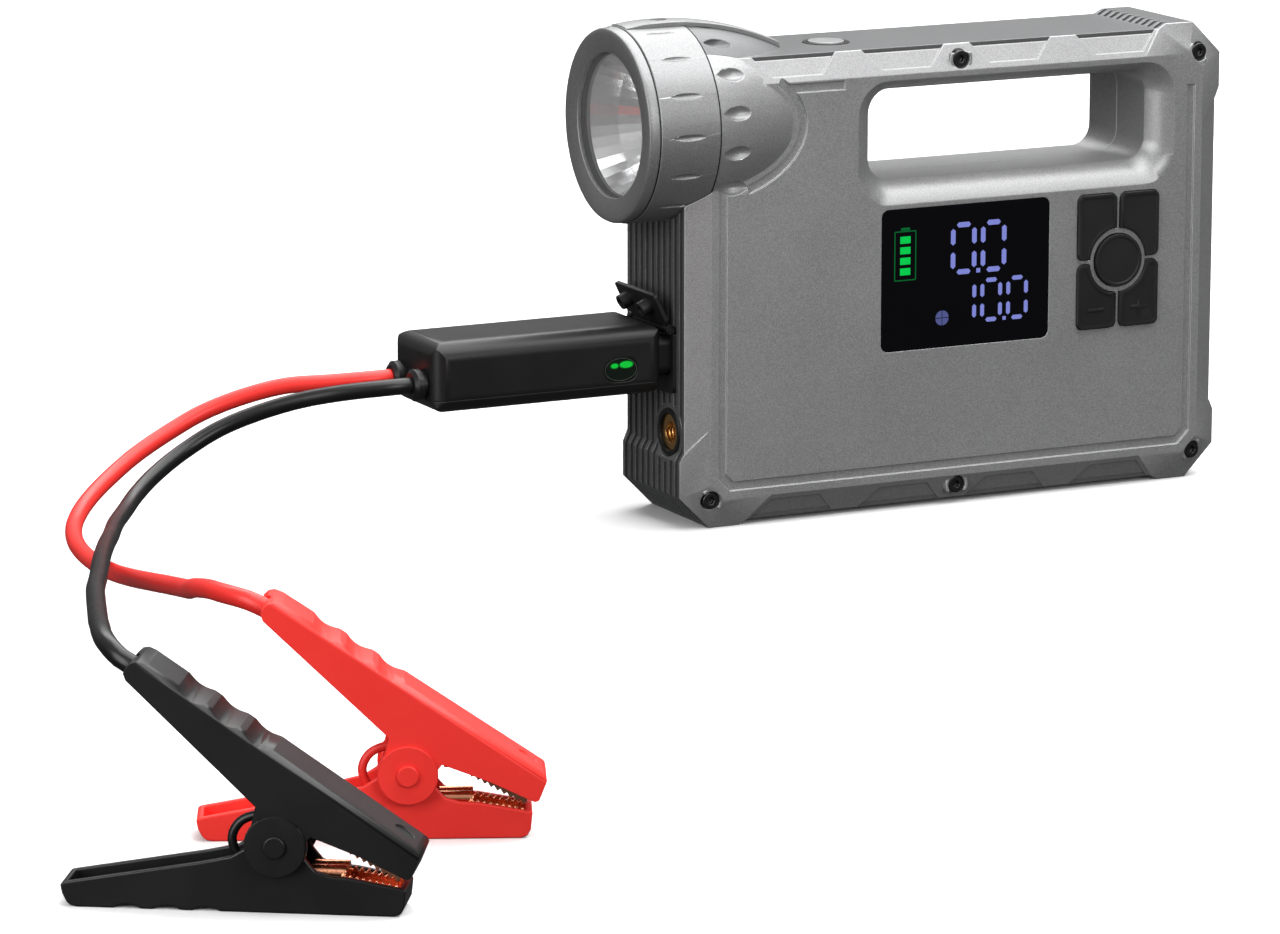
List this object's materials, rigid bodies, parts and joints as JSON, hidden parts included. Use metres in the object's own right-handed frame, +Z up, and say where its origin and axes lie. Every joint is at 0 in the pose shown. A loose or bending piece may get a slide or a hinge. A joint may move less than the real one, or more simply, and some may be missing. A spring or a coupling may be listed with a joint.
{
  "type": "jump starter pack",
  "caption": "Upright battery pack with a carrying handle, end work lamp, display, push buttons, air outlet and a plug-in lead box with two spring clamps.",
  "frame": {"origin": "middle of the pack's footprint on the surface it stands on, measured without the leads", "axes": "+Z up; -Y is the front face with the display; -X is the end with the lamp, the air outlet and the jump socket"},
  "size_m": [0.6207, 0.4864, 0.1904],
  "materials": {
    "case_grey": "satin metallic paint over moulded plastic",
    "band_grey": "satin metallic paint, darker, over moulded ribs",
    "trim_grey": "satin metallic paint",
    "black_glass": "gloss, with lit figures behind it",
    "screen": "matt backing",
    "board": "coated board",
    "black_rubber": "fine matt",
    "black_plastic": "satin moulded",
    "black_steel": "black oxide",
    "cell_wrap": "shrink wrap",
    "holder": "moulded",
    "motor_steel": "drawn can",
    "cast_alloy": "die cast",
    "brass": "turned",
    "clear_lens": "clear",
    "chrome": "faceted mirror",
    "led_yellow": "lamp chip under a clear dome",
    "green_window": "tinted window, lit green",
    "red_plastic": "satin moulded",
    "red_rubber": "smooth silicone",
    "lead_rubber": "smooth silicone",
    "copper": "copper plated",
    "spring_steel": "wire"
  },
  "bodies": {
    "pack": {"front_shell": "case_grey", "side_band": "band_grey", "rear_shell": "case_grey", "display_window": "black_glass", "display_panel": "screen", "main_board": "board", "top_switch_ring": "black_plastic", "case_screws": "black_steel", "battery_cells": "cell_wrap", "cell_holder": "holder", "pump_motor": "motor_steel", "pump_cylinder": "cast_alloy", "air_tube": "black_rubber", "air_outlet": "brass", "air_outlet_rim": "black_plastic", "socket_frame": "black_plastic", "socket_contacts": "brass", "lamp_bezel": "trim_grey", "lamp_ring": "trim_grey", "lamp_lens": "clear_lens", "lamp_seal": "black_rubber", "lamp_reflector": "chrome", "lamp_led": "led_yellow", "lamp_tongue": "trim_grey", "tongue_screw": "black_steel"},
    "flap": {"socket_flap": "black_rubber"},
    "leads": {"box_top": "black_plastic", "box_base": "black_plastic", "box_board": "board", "box_plug": "black_plastic", "plug_pins": "brass", "status_window": "green_window", "lead_collars": "black_plastic", "red_lead": "red_rubber", "black_lead": "lead_rubber", "red_lower_lever": "red_plastic", "red_pin": "red_plastic", "red_spring": "spring_steel", "red_lower_jaw": "copper", "red_jumper": "red_rubber", "black_lower_lever": "black_plastic", "black_pin": "black_plastic", "black_spring": "spring_steel", "black_lower_jaw": "copper", "black_jumper": "lead_rubber"},
    "red_handle": {"red_upper_lever": "red_plastic", "red_upper_jaw": "copper"},
    "black_handle": {"black_upper_lever": "black_plastic", "black_upper_jaw": "copper"},
    "top_key": {"top_switch": "trim_grey"},
    "mode_key": {"mode_button": "black_rubber"},
    "air_key": {"air_button": "black_rubber"},
    "minus_key": {"minus_button": "black_rubber"},
    "plus_key": {"plus_button": "black_rubber"},
    "power_key": {"power_button": "black_rubber"}
  },
  "joints": [
    {"name": "mode_press", "type": "slide", "parent": "pack", "child": "mode_key", "axis": [0, 1, 0], "range_m": [0, 0.001], "stiffness_N_per_m": 900},
    {"name": "air_press", "type": "slide", "parent": "pack", "child": "air_key", "axis": [0, 1, 0], "range_m": [0, 0.001], "stiffness_N_per_m": 900},
    {"name": "minus_press", "type": "slide", "parent": "pack", "child": "minus_key", "axis": [0, 1, 0], "range_m": [0, 0.001], "stiffness_N_per_m": 900},
    {"name": "plus_press", "type": "slide", "parent": "pack", "child": "plus_key", "axis": [0, 1, 0], "range_m": [0, 0.001], "stiffness_N_per_m": 900},
    {"name": "power_press", "type": "slide", "parent": "pack", "child": "power_key", "axis": [0, 1, 0], "range_m": [0, 0.001], "stiffness_N_per_m": 900},
    {"name": "top_press", "type": "slide", "parent": "pack", "child": "top_key", "axis": [0, 0, -1], "range_m": [0, 0.0006], "stiffness_N_per_m": 900},
    {"name": "flap_swing", "type": "hinge", "parent": "pack", "child": "flap", "pos_m": [-0.10745, 0, 0.0756], "axis": [0, 1, 0], "range_deg": [-8, 12]},
    {"name": "plug_pull", "type": "slide", "parent": "pack", "child": "leads", "axis": [-1, 0, 0], "range_m": [0, 0.018]},
    {"name": "red_grip", "type": "hinge", "parent": "leads", "child": "red_handle", "pos_m": [-0.37056, -0.36182, 0.0208], "axis": [-0.4067, -0.9135, 0], "range_deg": [0, 28], "stiffness_Nm_per_rad": 1.2, "springref_deg": -20.05, "deforming": ["red_spring", "red_jumper", "red_lead"]},
    {"name": "black_grip", "type": "hinge", "parent": "leads", "child": "black_handle", "pos_m": [-0.4364, -0.41817, 0.0208], "axis": [-0.5446, -0.8387, 0], "range_deg": [0, 28], "stiffness_Nm_per_rad": 1.2, "springref_deg": -20.05, "deforming": ["black_spring", "black_jumper", "black_lead"]}
  ]
}
